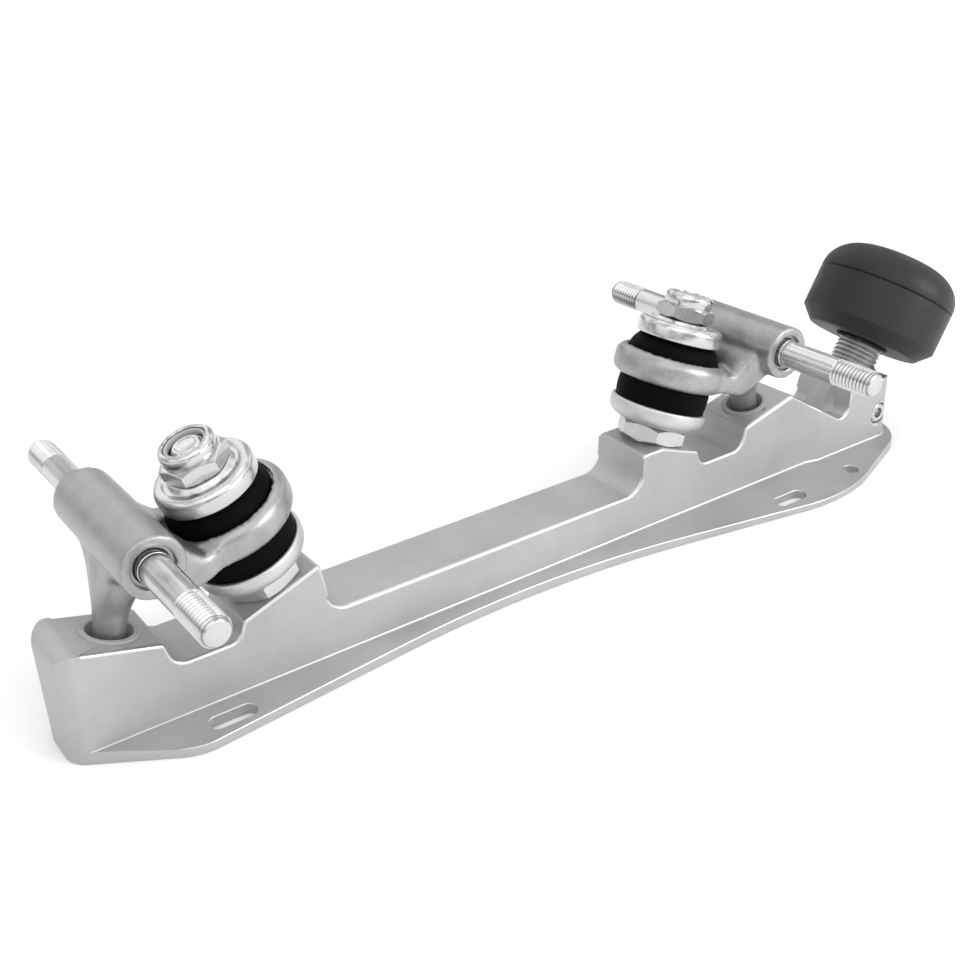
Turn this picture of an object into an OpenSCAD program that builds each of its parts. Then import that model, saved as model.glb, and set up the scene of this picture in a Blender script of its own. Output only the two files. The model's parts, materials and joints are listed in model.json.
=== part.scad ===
// Roller skate plate with two steering trucks and a screw-in toe stop.
// The sole face lies on Z = 0, the toe points along +X and the trucks stand up along +Z.
// The origin is on the sole face, midway between the two axles.

/* [Layout] */
// Distance between the front and the rear axle
wheelbase = 203; // [195:1:225]
// Height of the axles over the sole face
axle_height = 53; // [52:0.5:56]
// Length of the plate past the rear axle
heel_overhang = 24; // [22:0.5:30]
// Length of the toe block past the front axle
toe_overhang = 68.9; // [68:0.1:74]

/* [Plate] */
// Width of the rail that carries the trucks
rail_w = 21.2; // [20.6:0.1:24]
// Width of the block that holds the toe stop
toe_block_w = 23.6; // [23.6:0.2:27]
// Height of the deck between the trucks
deck_z = 16.3; // [14:0.1:19]
// Height of the troughs under the hangers
trough_z = 18; // [15:0.1:19]
// Height of the flat top in front of the front kingpin
front_rise_z = 28.4; // [27.6:0.1:30]
// Height of the toe block
toe_block_z = 25; // [22:0.1:27]
// Height of the lowest point between the front pivot block and the toe block
channel_z = 13.6; // [12:0.1:16]
// Thickness of the sole flange at the rail
flange_t = 3.2; // [2.6:0.1:4.5]
// Fall of the flange's top over each millimetre away from the rail
flange_slope = 0.06; // [0.02:0.01:0.08]
// Half width of the flange beside the rear axle
heel_half_w = 24.4; // [22:0.2:30]
// Half width of the flange at the waist
waist_half_w = 12.5; // [12:0.2:18]
// Half width of the flange beside the front axle
toe_half_w = 33.4; // [30:0.2:38]
// Half width of the flange at the tip of the toe
tip_half_w = 13; // [12:0.2:18]
// Wall that the pockets under the plate leave along the rail
pocket_wall = 3.5; // [2.5:0.1:5]
// Depth of the pockets under the plate
pocket_depth = 9; // [4:0.2:11]
// Width of the cross rib in the middle of the plate
centre_rib = 12; // [8:0.5:20]
// Width of the ribs between the pockets
pocket_rib = 4; // [3:0.5:8]

/* [Boot screws] */
// Diameter of the screw holes and width of the slots
screw_hole_d = 5; // [4:0.1:5.6]
// Diameter of their countersinks
countersink_d = 8; // [7:0.1:9]
// Length of the slots
slot_length = 13; // [9:0.5:16]
// Distance of the rear slots from the rear axle, towards the toe
rear_slot_x = 14.5; // [10:0.5:20]
// Half distance between the two rear slots
rear_slot_y = 18; // [16:0.1:20]
// Distance of the front slots from the front axle, towards the toe
front_slot_x = 5; // [0:0.5:10]
// Half distance between the two front slots
front_slot_y = 23.8; // [19:0.1:26]
// Distance of the round toe holes from the front axle
toe_hole_x = 36.1; // [32:0.5:40]
// Half distance between the two round toe holes
toe_hole_y = 22.3; // [18:0.1:23]

/* [Axles and hangers] */
// Diameter of the axles
axle_d = 8; // [7:0.1:8]
// Length of the axles
axle_length = 112; // [100:1:124]
// Diameter of the axle where it is pressed into its hanger
axle_seat_d = 8.4; // [8.2:0.1:9]
// Length of the thread at each end of an axle
axle_thread = 13; // [8:0.5:16]
// Pitch of the threads on the axles and on the kingpins
fine_pitch = 1.25; // [1:0.05:1.5]
// Diameter of the barrel round the axle
barrel_d = 16; // [14:0.2:18]
// Length of the barrel
barrel_length = 45.4; // [42:0.2:52]
// Diameter of the recess in the ends of the barrel
barrel_recess_d = 10.6; // [9:0.1:12]
// Depth of that recess
barrel_recess = 1.6; // [1:0.1:4]
// Lean of the pivot arm, inwards going up
arm_lean = 14.5; // [12:0.5:18]
// Distance from the axle to the ball at the end of the pivot arm
arm_reach = 30.4; // [29.5:0.1:32]
// Diameter of the ball
ball_d = 9.2; // [8:0.1:9.6]
// Diameter of the pivot arm above the ball
arm_foot_d = 8.4; // [7:0.1:9]
// Diameter of the pivot arm under the barrel
arm_top_d = 14.5; // [12:0.1:16]

/* [Pivot cups] */
// Diameter of the pivot cups
pivot_cup_d = 15; // [14:0.1:16]
// Depth of the ball's centre below the face of the pivot block
ball_depth = 4; // [3:0.1:5]
// Thickness of the cup under the ball
pivot_cup_floor = 2.6; // [1.5:0.1:3.5]
// Height of the cup's rim over the block
pivot_cup_proud = 0.5; // [0.2:0.1:1]
// Width of the cup's open mouth
pivot_mouth_d = 11.6; // [11.2:0.1:13.4]

/* [Kingpins] */
// Lean of the kingpins, outwards going up
kingpin_lean = 20; // [18:0.5:22]
// Distance from each axle to the kingpin's seat, along the plate
kingpin_offset = 35.1; // [34.5:0.1:37]
// Height of the kingpin's seat over the sole face
seat_z = 27.2; // [26:0.1:27.6]
// Diameter of the kingpin's thread in the plate
kingpin_base_d = 12; // [11:0.1:13]
// Depth of that thread in the plate
kingpin_depth = 15; // [10:0.5:17]
// Diameter of the kingpin above the jam nut
kingpin_d = 9.5; // [8:0.1:9.6]
// Width of the jam nut across its flats
jam_nut_af = 19; // [17:0.1:20]
// Thickness of the jam nut
jam_nut_t = 5.2; // [4:0.1:6]
// Width of the lock nut across its flats
lock_nut_af = 15.4; // [14:0.1:16]
// Height of the lock nut's hexagon
lock_nut_h = 4.8; // [4.2:0.1:6]
// Height of the rounded collar that holds the lock nut's nylon ring
collar_h = 3.4; // [3.2:0.1:5]

/* [Cushions and cups] */
// Diameter of the lower cup's rim
lower_cup_d = 30; // [29:0.1:32]
// Thickness of the cups
cup_t = 1.8; // [1.2:0.1:2.2]
// Height of the lower cup
lower_cup_h = 6.4; // [4.5:0.1:6.8]
// Height of the lower cushion
lower_cushion_h = 13.1; // [11.5:0.1:13.6]
// Largest diameter of the lower cushion
lower_cushion_d = 28; // [26:0.1:28]
// Height of the upper cushion
upper_cushion_h = 8.2; // [8:0.1:9]
// Largest diameter of the upper cushion
upper_cushion_d = 27.6; // [25:0.1:27.8]
// Diameter of the upper cup
upper_cup_d = 26.2; // [25.4:0.1:27]
// Depth of the upper cup's skirt
upper_cup_skirt = 2.2; // [1.5:0.1:2.6]
// Outer diameter of the hanger's ring
ring_d = 34.6; // [33:0.1:36]
// Thickness of the hanger's ring
ring_t = 9.1; // [8.8:0.1:10]
// Diameter of the hole in the ring
ring_bore_d = 17; // [16.4:0.1:18]
// Diameter of the ring's two recesses, which hold the cushions
ring_recess_d = 28.8; // [28.6:0.1:29.6]
// Depth of the recesses
ring_recess = 2; // [1.5:0.1:2.4]

/* [Toe stop] */
// Lean of the toe stop, forwards going up
stop_lean = 32.3; // [30:0.1:33]
// Distance from the front axle to the middle of the rubber's underside
stop_x = 63.1; // [62:0.1:64]
// Height of that point over the sole face
stop_z = 34.9; // [34:0.1:38]
// Diameter of the toe stop's stem
stem_d = 15.9; // [14:0.1:16]
// Length of the stem below the rubber
stem_length = 28.5; // [25:0.5:29.5]
// Pitch of the stem's thread
stem_pitch = 1.6; // [1.2:0.1:2.4]
// Diameter of the head that the rubber is moulded round
head_d = 30; // [24:0.5:34]
// Thickness of that head
head_t = 3; // [2:0.1:4]
// Height of the head over the rubber's underside
head_rise = 8; // [7:0.1:10]
// Diameter of the rubber
rubber_d = 47.2; // [44:0.2:50]
// Diameter of the rubber's underside
rubber_foot_d = 38.4; // [34:0.2:42]
// Height of the sloping edge at the rubber's underside
rubber_foot_h = 4.5; // [3:0.1:6]
// Height of the parting groove
groove_h = 18.8; // [17:0.1:19.5]
// Width of the parting groove
groove_w = 0.9; // [0.4:0.1:1.4]
// Height of the rubber
rubber_h = 30.7; // [30:0.1:35]
// Radius of the rubber's domed shoulder across
shoulder_r = 13; // [10:0.1:14]
// Thickness of the lock ring under the rubber
washer_t = 1.2; // [0.8:0.1:2]
// Diameter of that ring
washer_d = 18.4; // [17.8:0.2:24]
// Distance from the front axle to the pinch screw
pinch_x = 61.4; // [61.2:0.1:62]
// Height of the pinch screw over the sole face
pinch_z = 12.1; // [11.9:0.1:12.3]
// Diameter of the pinch screw
pinch_d = 4; // [3:0.1:4.2]
// Diameter of its head
pinch_head_d = 7; // [6:0.1:7.4]
// Height of its head
pinch_head_h = 4; // [2.5:0.1:4.4]
// Width of the slot that the pinch screw closes
pinch_slot = 1.5; // [1:0.1:2.5]

/* [Clearances] */
// Radial clearance of a thread or a journal in its bore
running_gap = 0.05; // [0.02:0.01:0.1]
// Gap under a nut or a screw head that turns on its seat
seat_gap = 0.1; // [0.05:0.01:0.3]
// Gap between a cushion and the hanger
cushion_gap = 0.3; // [0.2:0.05:0.5]
// Gap round the ball in its cup
ball_gap = 0.3; // [0.2:0.05:0.5]
// Radial gap of a plain hole round a bolt
bolt_gap = 0.25; // [0.15:0.05:0.4]

/* [Hidden] */
$fn = 64;
eps = 0.01;
FRONT = 1;
REAR = -1;

// Places along the plate, the same for both trucks when measured from the middle
axle_x = wheelbase / 2;
seat_x = axle_x - kingpin_offset;
ball_x = axle_x + arm_reach * sin(arm_lean);
ball_z = axle_height - arm_reach * cos(arm_lean);
face_x = ball_x - ball_depth * sin(arm_lean);
face_mid_z = ball_z + ball_depth * cos(arm_lean);
heel_x = axle_x + heel_overhang;
toe_x = axle_x + toe_overhang;
stop_mid_x = axle_x + stop_x;
screw_x = axle_x + pinch_x;

// Heights along the kingpin, measured from its seat
cup_floor_h = jam_nut_t + cup_t;
lower_top_h = cup_floor_h + lower_cushion_h;
ring_low_h = lower_top_h + cushion_gap - ring_recess;
ring_mid_h = ring_low_h + ring_t / 2;
upper_low_h = ring_low_h + ring_t - ring_recess + cushion_gap;
upper_top_h = upper_low_h + upper_cushion_h;
web_inset = 1.4;
web_t = ring_t - 2 * web_inset;
// How far the upper cup's rounded rim and its seat for the lock nut stand over the cup's floor plate
rim_rise = 1.3;
crown_h = 2;
upper_cup_top_h = upper_top_h + seat_gap + cup_t + crown_h;
nut_low_h = upper_cup_top_h + seat_gap;
kingpin_top_h = nut_low_h + lock_nut_h + collar_h - 1;

// Radii that follow from the sizes above
axle_r = axle_d / 2;
axle_shoulder = 0.3;
shank_r = kingpin_d / 2;
base_r = kingpin_base_d / 2;
bore_r = stem_d / 2 + running_gap;
rail_r = rail_w / 2;
cushion_bore_r = shank_r + bolt_gap;
// The bore of the lock nut's collar, which the nylon ring fills
insert_r = shank_r + 0.9;
insert_low = 1.2;
thread_depth_ratio = 0.54;
fine_depth = fine_pitch * thread_depth_ratio;

// Height of the pivot block's face and of the kingpin's seat at a distance from the middle
function face_z(x) = face_mid_z + (x - face_x) * tan(arm_lean);
function slope_z(x) = seat_z + (seat_x - x) * tan(kingpin_lean);
function slope_x(z) = seat_x - (z - seat_z) / tan(kingpin_lean);
function edge_t(y) = flange_t - flange_slope * (y - rail_r);

// A corner [x, y, radius] between its two neighbours, as the points of its arc
arc_step = 9;
function xy(p) = [p[0], p[1]];
function unit(v) = v / norm(v);
function wrap(a) = a > 180 ? a - 360 : a < -180 ? a + 360 : a;
function corner(a, b, c) =
    b[2] == 0 ? [xy(b)] :
    let (
        u = unit(xy(a) - xy(b)),
        w = unit(xy(c) - xy(b)),
        half = acos(max(-1, min(1, u * w))) / 2,
        room = 0.48 * min(norm(xy(a) - xy(b)), norm(xy(c) - xy(b))),
        r = min(b[2], room * tan(half)),
        mid = xy(b) + unit(u + w) * r / sin(half),
        from = xy(b) + u * r / tan(half) - mid,
        to = xy(b) + w * r / tan(half) - mid,
        start = atan2(from[1], from[0]),
        sweep = wrap(atan2(to[1], to[0]) - start),
        n = max(2, ceil(abs(sweep) / (r > 50 ? 1.5 : arc_step)))
    )
    [for (i = [0:n]) mid + r * [cos(start + sweep * i / n), sin(start + sweep * i / n)]];
function rounded(p) = [
    for (i = [0:len(p) - 1])
        each corner(p[(i + len(p) - 1) % len(p)], p[i], p[(i + 1) % len(p)])
];
function mirrored(half) = concat(half, [for (i = [len(half) - 1:-1:0]) [half[i][0], -half[i][1], half[i][2]]]);

// The rail seen from the side, from the heel over the top to the toe
function pivot_side(end) = [
    [end * (axle_x - 3), face_z(axle_x - 3), 1.2],
    [end * (axle_x - 5), trough_z, 5],
    [end * (axle_x - 22), trough_z, 4],
    [end * (axle_x - 23.7), slope_z(axle_x - 23.7), 1.3]
];
front_rise_x = slope_x(front_rise_z);
rise_x = axle_x - 46.4;
channel_x = axle_x + 44.3;
rail_side = concat(
    [[-heel_x, 0, 0], [-heel_x, face_z(heel_x), 5]],
    pivot_side(REAR),
    [[-rise_x, slope_z(rise_x), 1], [1.8 - rise_x, deck_z, 6]],
    [[rise_x - 0.6, deck_z, 8], [rise_x, front_rise_z, 1.2], [front_rise_x, front_rise_z, 1]],
    [for (i = [3:-1:0]) pivot_side(FRONT)[i]],
    [[axle_x + 17.8, face_z(axle_x + 17.8), 1.5], [channel_x, channel_z, 5]],
    [[channel_x + 1.6, toe_block_z, 1.5], [toe_x, toe_block_z, 5], [toe_x, 0, 0]]
);

// The flange and the rail seen from above, as the half at +Y
flange_plan = rounded(mirrored([
    [-heel_x, 8, 7],
    [3 - axle_x, heel_half_w, 14],
    [14.4, waist_half_w, 340],
    [axle_x + 23.5, toe_half_w, 60],
    [toe_x + 4, tip_half_w, 19]
]));
rail_plan = rounded(mirrored([
    [-heel_x, rail_r, 0],
    [axle_x + 26.5, rail_r, 3],
    [axle_x + 31.5, toe_block_w / 2, 3],
    [toe_x, toe_block_w / 2, 7.5]
]));

module truck(end) {
    if (end == FRONT) children();
    else mirror([1, 0, 0]) children();
}

module on_kingpin() {
    translate([seat_x, 0, seat_z]) rotate([0, kingpin_lean, 0]) children();
}

module on_arm() {
    translate([ball_x, 0, ball_z]) rotate([0, -arm_lean, 0]) children();
}

module on_stop() {
    translate([stop_mid_x, 0, stop_z]) rotate([0, stop_lean, 0]) children();
}

module along_y() {
    rotate([-90, 0, 0]) children();
}

// A hexagon with both rims turned down at 30 degrees
module hex_nut(across, height, hole_r) {
    corner_r = across / 2 / cos(30);
    turned = (corner_r - across / 2 * 0.98) * tan(30);
    difference() {
        intersection() {
            cylinder(r = corner_r, h = height, $fn = 6);
            rotate_extrude() polygon([
                [0, 0], [across / 2 * 0.98, 0], [corner_r, turned],
                [corner_r, height - turned], [across / 2 * 0.98, height], [0, height]
            ]);
        }
        translate([0, 0, -1]) cylinder(r = hole_r, h = height + 2);
    }
}

// The outline of a thread from z0 to z1, from its top down to its foot, as [radius, height]
function thread_points(r, depth, pitch, z0, z1) = [
    for (i = [floor((z1 - z0) / pitch) - 1:-1:0])
        each [
            [r, z0 + (i + 0.95) * pitch],
            [r - depth, z0 + (i + 0.6) * pitch],
            [r - depth, z0 + (i + 0.5) * pitch],
            [r, z0 + (i + 0.15) * pitch]
        ]
];

module flange() {
    reach = toe_half_w + 5;
    intersection() {
        linear_extrude(flange_t) polygon(flange_plan);
        translate([-heel_x - 5, 0, 0]) rotate([90, 0, 90])
            linear_extrude(heel_x + toe_x + 20) polygon([
                [-reach, 0], [reach, 0], [reach, edge_t(reach)],
                [rail_r, flange_t], [-rail_r, flange_t], [-reach, edge_t(reach)]
            ]);
    }
}

module rail() {
    top = axle_height;
    intersection() {
        rotate([90, 0, 0]) linear_extrude(toe_block_w + 2, center = true) polygon(rounded(rail_side));
        linear_extrude(top) polygon(rail_plan);
        linear_extrude(top) polygon(flange_plan);
    }
}

// Keeps a wall between the channel and the toe stop's bore
module stop_boss() {
    intersection() {
        on_stop() translate([0, 0, -2 * stem_length]) cylinder(r = bore_r + 1.2, h = 3 * stem_length);
        translate([axle_x + 20, -toe_block_w / 2, 0]) cube([toe_overhang - 22, toe_block_w, toe_block_z]);
    }
}

module screw_slot(x, y, length) {
    travel = max(length - screw_hole_d, 0);
    sink = (countersink_d - screw_hole_d) / 2;
    top = edge_t(y);
    for (s = travel > 0 ? [-1, 1] : [1]) translate([x + s * travel / 2, y, 0]) {
        translate([0, 0, -1]) cylinder(d = screw_hole_d, h = flange_t + 2);
        translate([0, 0, top - sink]) cylinder(r1 = screw_hole_d / 2, r2 = countersink_d / 2 + 1, h = sink + 1);
    }
    if (travel > 0) translate([x, y, 0]) {
        translate([-travel / 2, -screw_hole_d / 2, -1]) cube([travel, screw_hole_d, flange_t + 2]);
        translate([-travel / 2, 0, 0]) rotate([90, 0, 90]) linear_extrude(travel) polygon([
            [-screw_hole_d / 2, top - sink], [screw_hole_d / 2, top - sink],
            [countersink_d / 2 + 1, top + 1], [-countersink_d / 2 - 1, top + 1]
        ]);
    }
}

module boot_screw_holes() {
    for (s = [-1, 1]) {
        screw_slot(rear_slot_x - axle_x, s * rear_slot_y, slot_length);
        screw_slot(axle_x + front_slot_x, s * front_slot_y, slot_length);
        screw_slot(axle_x + toe_hole_x, s * toe_hole_y, screw_hole_d);
    }
}

module underside_pockets() {
    waist_end = rise_x - 6;
    length = (waist_end - centre_rib / 2 - pocket_rib) / 2;
    half_w = rail_r - pocket_wall;
    depth = min(pocket_depth, deck_z - 5, trough_z - 5);
    starts = [centre_rib / 2, centre_rib / 2 + length + pocket_rib];
    for (s = [-1, 1]) {
        for (x = starts) pocket(s > 0 ? x : -x - length, length, half_w, depth);
        trough_start = axle_x - 21.5;
        pocket(s > 0 ? trough_start : -trough_start - 16, 16, half_w, depth);
    }
}

module pocket(x, length, half_w, depth) {
    translate([0, 0, -1]) linear_extrude(depth + 1) polygon(rounded(mirrored([
        [x, half_w, 3.5], [x + length, half_w, 3.5]
    ])));
}

module toe_stop_bore() {
    on_stop() translate([0, 0, -2 * stem_length]) cylinder(r = bore_r, h = 3 * stem_length);
    intersection() {
        on_stop() translate([0, -pinch_slot / 2, -2 * stem_length]) cube([toe_overhang, pinch_slot, 3 * stem_length]);
        translate([axle_x, -pinch_slot / 2, flange_t + 1]) cube([toe_overhang, pinch_slot, toe_block_z]);
    }
    translate([screw_x, 0, pinch_z]) along_y() {
        translate([0, 0, -toe_block_w]) cylinder(r = pinch_d / 2 + bolt_gap, h = toe_block_w, $fn = 32);
        translate([0, 0, -eps]) cylinder(r = pinch_d / 2 + running_gap, h = toe_block_w, $fn = 32);
        translate([0, 0, -toe_block_w / 2 - 1]) cylinder(r = pinch_head_d / 2 + bolt_gap, h = pinch_head_h + 1 + seat_gap);
    }
}

module plate() {
    color("silver") difference() {
        union() {
            flange();
            rail();
            stop_boss();
        }
        for (end = [FRONT, REAR]) truck(end) {
            on_kingpin() translate([0, 0, -kingpin_depth]) cylinder(r = base_r + running_gap, h = kingpin_depth + 20);
            on_arm() translate([0, 0, -ball_d / 2 - ball_gap - pivot_cup_floor])
                cylinder(r = pivot_cup_d / 2 + running_gap, h = 40);
        }
        boot_screw_holes();
        underside_pockets();
        toe_stop_bore();
    }
}

module kingpin(end) {
    chamfer = 0.8;
    r = shank_r;
    thread_low = upper_cup_top_h;
    color("lightgray") truck(end) on_kingpin() rotate_extrude() polygon(concat(
        [[0, kingpin_top_h], [r - chamfer, kingpin_top_h], [r, kingpin_top_h - chamfer]],
        thread_points(r, fine_depth, fine_pitch, thread_low, kingpin_top_h - chamfer),
        [[r, jam_nut_t], [base_r, jam_nut_t - seat_gap]],
        [[base_r, chamfer - kingpin_depth], [base_r - chamfer, -kingpin_depth], [0, -kingpin_depth]]
    ));
}

module jam_nut(end) {
    color("gainsboro") truck(end) on_kingpin() translate([0, 0, seat_gap])
        hex_nut(jam_nut_af, jam_nut_t - 2 * seat_gap, base_r + running_gap);
}

module lower_cup(end) {
    outer = lower_cup_d / 2;
    low = jam_nut_t;
    floor_r = outer - 2.6;
    color("gainsboro") truck(end) on_kingpin() rotate_extrude() polygon([
        [cushion_bore_r, low], [floor_r - 1, low], [floor_r + 1.4, low + 0.9],
        [outer - 0.3, low + lower_cup_h - 2.4], [outer, low + lower_cup_h - 1.6],
        [outer, low + lower_cup_h - 0.5], [outer - 0.4, low + lower_cup_h],
        [outer - 1.1, low + lower_cup_h], [outer - 1.4, low + lower_cup_h - 0.8],
        [floor_r + 0.2, low + cup_t + 0.4], [floor_r - 0.3, low + cup_t], [cushion_bore_r, low + cup_t]
    ]);
}

module upper_cup(end) {
    outer = upper_cup_d / 2;
    floor_h = upper_top_h + seat_gap;
    top = floor_h + cup_t;
    color("gainsboro") truck(end) on_kingpin() rotate_extrude() polygon([
        [cushion_bore_r, floor_h], [outer - 1.4, floor_h], [outer - 1, floor_h - upper_cup_skirt],
        [outer - 0.3, floor_h - upper_cup_skirt], [outer, floor_h - upper_cup_skirt + 0.4],
        [outer, top - 0.4], [outer - 0.2, top + 0.4], [outer - 0.9, top + rim_rise - 0.3],
        [outer - 1.8, top + rim_rise], [outer - 2.6, top + rim_rise - 0.2], [outer - 3.5, top + 0.6],
        [outer - 4.1, top + 0.6], [outer - 4.8, top + crown_h], [cushion_bore_r, top + crown_h]
    ]);
}

// A barrel-shaped cushion with a bore and, at its top, a straight neck that a cup's skirt goes round
module cushion(low, height, neck, foot_r, belly_r, head_r) {
    n = 8;
    bulge = 4 * (belly_r - (foot_r + head_r) / 2);
    side = [
        for (i = [0:n])
            let (t = i / n)
            [foot_r * (1 - t) + head_r * t + bulge * t * (1 - t), low + (height - neck) * t]
    ];
    top = [[head_r, low + height], [cushion_bore_r, low + height]];
    rotate_extrude() polygon(concat([[cushion_bore_r, low]], side, top));
}

module lower_cushion(end) {
    belly = lower_cushion_d / 2;
    color("dimgray") truck(end) on_kingpin()
        cushion(cup_floor_h, lower_cushion_h, ring_recess, min(belly - 1.8, lower_cup_d / 2 - 3), belly, belly - 0.4);
}

module upper_cushion(end) {
    belly = upper_cushion_d / 2;
    color("dimgray") truck(end) on_kingpin()
        cushion(upper_low_h, upper_cushion_h, upper_cup_skirt + cushion_gap, belly, belly - 0.4, upper_cup_d / 2 - 1.7);
}

module lock_nut(end) {
    collar_r = lock_nut_af / 2 - 0.3;
    color("gainsboro") truck(end) on_kingpin() translate([0, 0, nut_low_h]) {
        hex_nut(lock_nut_af, lock_nut_h, shank_r + running_gap);
        translate([0, 0, lock_nut_h - eps]) difference() {
            rotate_extrude() polygon(rounded([
                [0, 0, 0], [collar_r, 0, 0], [collar_r, collar_h, 1.4], [0, collar_h, 0]
            ]));
            translate([0, 0, -1]) cylinder(r = shank_r + running_gap, h = collar_h + 2);
            translate([0, 0, insert_low]) cylinder(r = insert_r, h = collar_h);
        }
    }
}

module nut_insert(end) {
    color("white") truck(end) on_kingpin() translate([0, 0, nut_low_h + lock_nut_h + insert_low]) difference() {
        cylinder(r = insert_r - eps, h = collar_h - insert_low - 0.5);
        translate([0, 0, -1]) cylinder(r = shank_r + running_gap, h = collar_h + 2);
    }
}

module pivot_cup(end) {
    low = -ball_d / 2 - ball_gap - pivot_cup_floor;
    high = ball_depth + pivot_cup_proud;
    color("whitesmoke") truck(end) on_arm() difference() {
        translate([0, 0, low]) cylinder(d = pivot_cup_d, h = high - low);
        sphere(r = ball_d / 2 + ball_gap);
        cylinder(r1 = ball_d / 2 + ball_gap, r2 = pivot_mouth_d / 2 + 0.1, h = high + 0.1);
    }
}

// The middle of the barrel, which the hanger's webs run into
module barrel_core(width) {
    translate([axle_x, 0, axle_height]) along_y()
        cylinder(r = barrel_d / 2 - 2.4, h = width, center = true, $fn = 32);
}

// The level part of the web between the ring and the barrel, from one distance off the kingpin to another
module web_slab(from, to) {
    half_w = ring_d / 2 - 0.8;
    on_kingpin() translate([from, -half_w, ring_low_h + web_inset]) cube([to - from, 2 * half_w, web_t]);
}

// A slice of the pivot arm at a share of the way from the ball to the axle
module arm_slice(share, d) {
    on_arm() translate([0, 0, arm_reach * share]) cylinder(d = d, h = 1, $fn = 32);
}

// The hanger: a barrel for the axle, an arm with a ball for the pivot cup, and a ring round the kingpin
module hanger(end) {
    barrel_r = barrel_d / 2;
    ring_r = ring_d / 2;
    round_r = 3.2;
    foot_top_h = 6;
    color("silver") truck(end) difference() {
        union() {
            translate([axle_x, 0, axle_height]) along_y()
                cylinder(r = barrel_r, h = barrel_length, center = true);
            on_arm() {
                sphere(d = ball_d);
                cylinder(d1 = arm_foot_d - 0.6, d2 = arm_foot_d, h = foot_top_h);
                translate([0, 0, foot_top_h]) cylinder(d1 = arm_foot_d, d2 = arm_top_d, h = arm_reach - foot_top_h);
            }
            on_kingpin() translate([0, 0, ring_low_h]) rotate_extrude() polygon(rounded([
                [ring_bore_d / 2 - 1, 0, 0], [ring_r, 0, round_r],
                [ring_r, ring_t, round_r], [ring_bore_d / 2 - 1, ring_t, 0]
            ]));
            hull() {
                on_kingpin() translate([0, 0, ring_low_h + web_inset])
                    cylinder(r = ring_r - 2.2, h = web_t, $fn = 32);
                web_slab(ring_r - 1, ring_r + 1);
            }
            hull() {
                web_slab(ring_r - 5, ring_r + 1);
                barrel_core(barrel_length - 10);
            }
            hull() {
                barrel_core(barrel_length - 7);
                arm_slice(0.62, arm_foot_d + 2);
            }
            hull() {
                barrel_core(barrel_length * 0.5);
                arm_slice(0.3, arm_foot_d + 0.4);
            }
            hull() {
                on_kingpin() translate([ring_r - 7, 0, ring_low_h + web_inset]) cylinder(r = 5, h = 3, $fn = 32);
                arm_slice(0.45, arm_foot_d + 0.2);
                arm_slice(0.75, arm_foot_d + 1.4);
            }
        }
        translate([axle_x, 0, axle_height]) along_y() {
            cylinder(r = axle_seat_d / 2 + running_gap, h = axle_length, center = true);
            for (s = [-1, 1]) translate([0, 0, s * barrel_length / 2])
                cylinder(d = barrel_recess_d, h = 2 * barrel_recess, center = true);
        }
        on_kingpin() {
            translate([0, 0, ring_low_h - 10]) cylinder(d = ring_bore_d, h = ring_t + 20);
            translate([0, 0, ring_low_h - 10]) cylinder(d = ring_recess_d, h = 10 + ring_recess);
            translate([0, 0, ring_low_h + ring_t - ring_recess]) cylinder(d = ring_recess_d, h = 20);
        }
    }
}

module axle(end) {
    chamfer = 0.8;
    half = axle_length / 2;
    seat_end = barrel_length / 2 + axle_shoulder;
    top = [
        each [[0, half], [axle_r - chamfer, half], [axle_r, half - chamfer]],
        each thread_points(axle_r, fine_depth, fine_pitch, half - axle_thread, half - chamfer),
        each [[axle_r, seat_end], [axle_seat_d / 2, seat_end]]
    ];
    color("lightgray") truck(end) translate([axle_x, 0, axle_height]) along_y()
        rotate_extrude() polygon(concat(
            top, [for (i = [len(top) - 1:-1:0]) [top[i][0], -top[i][1]]]
        ));
}

module toe_stop_stem() {
    r = stem_d / 2;
    chamfer = 1.2;
    color("lightgray") on_stop() rotate_extrude() polygon(concat(
        [[0, head_rise + head_t], [head_d / 2, head_rise + head_t], [head_d / 2, head_rise], [r, head_rise]],
        thread_points(r, stem_pitch * thread_depth_ratio, stem_pitch, chamfer - stem_length, -washer_t),
        [[r, chamfer - stem_length], [r - chamfer, -stem_length], [0, -stem_length]]
    ));
}

module toe_stop_washer() {
    color("dimgray") on_stop() translate([0, 0, -washer_t - seat_gap]) difference() {
        cylinder(d = washer_d, h = washer_t);
        translate([0, 0, -1]) cylinder(r = bore_r, h = washer_t + 2);
    }
}

module toe_stop_rubber() {
    outer = rubber_d / 2;
    rise = rubber_h - groove_h - groove_w;
    n = 10;
    shoulder = [
        for (i = [0:n])
            let (a = 90 * i / n)
            [outer - shoulder_r + shoulder_r * cos(a), rubber_h - rise + rise * sin(a)]
    ];
    color("#3a3b3d") on_stop() difference() {
        rotate_extrude() polygon(concat(
            [[0, 0], [rubber_foot_d / 2, 0], [outer, rubber_foot_h]],
            [[outer, groove_h - groove_w], [outer - groove_w, groove_h]],
            shoulder,
            [[0, rubber_h]]
        ));
        translate([0, 0, -1]) cylinder(r = stem_d / 2, h = head_rise + 1 + eps);
        translate([0, 0, head_rise]) cylinder(r = head_d / 2, h = head_t);
    }
}

module pinch_screw() {
    half = toe_block_w / 2;
    head_top = half - 0.3;
    socket_r = pinch_head_d / 4;
    color("dimgray") translate([screw_x, 0, pinch_z]) along_y() difference() {
        union() {
            translate([0, 0, -head_top]) cylinder(d = pinch_head_d, h = pinch_head_h - 0.3);
            translate([0, 0, -head_top]) cylinder(d = pinch_d, h = head_top + half - 2, $fn = 32);
        }
        translate([0, 0, -head_top - 1]) cylinder(r = socket_r, h = 3, $fn = 6);
    }
}

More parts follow.
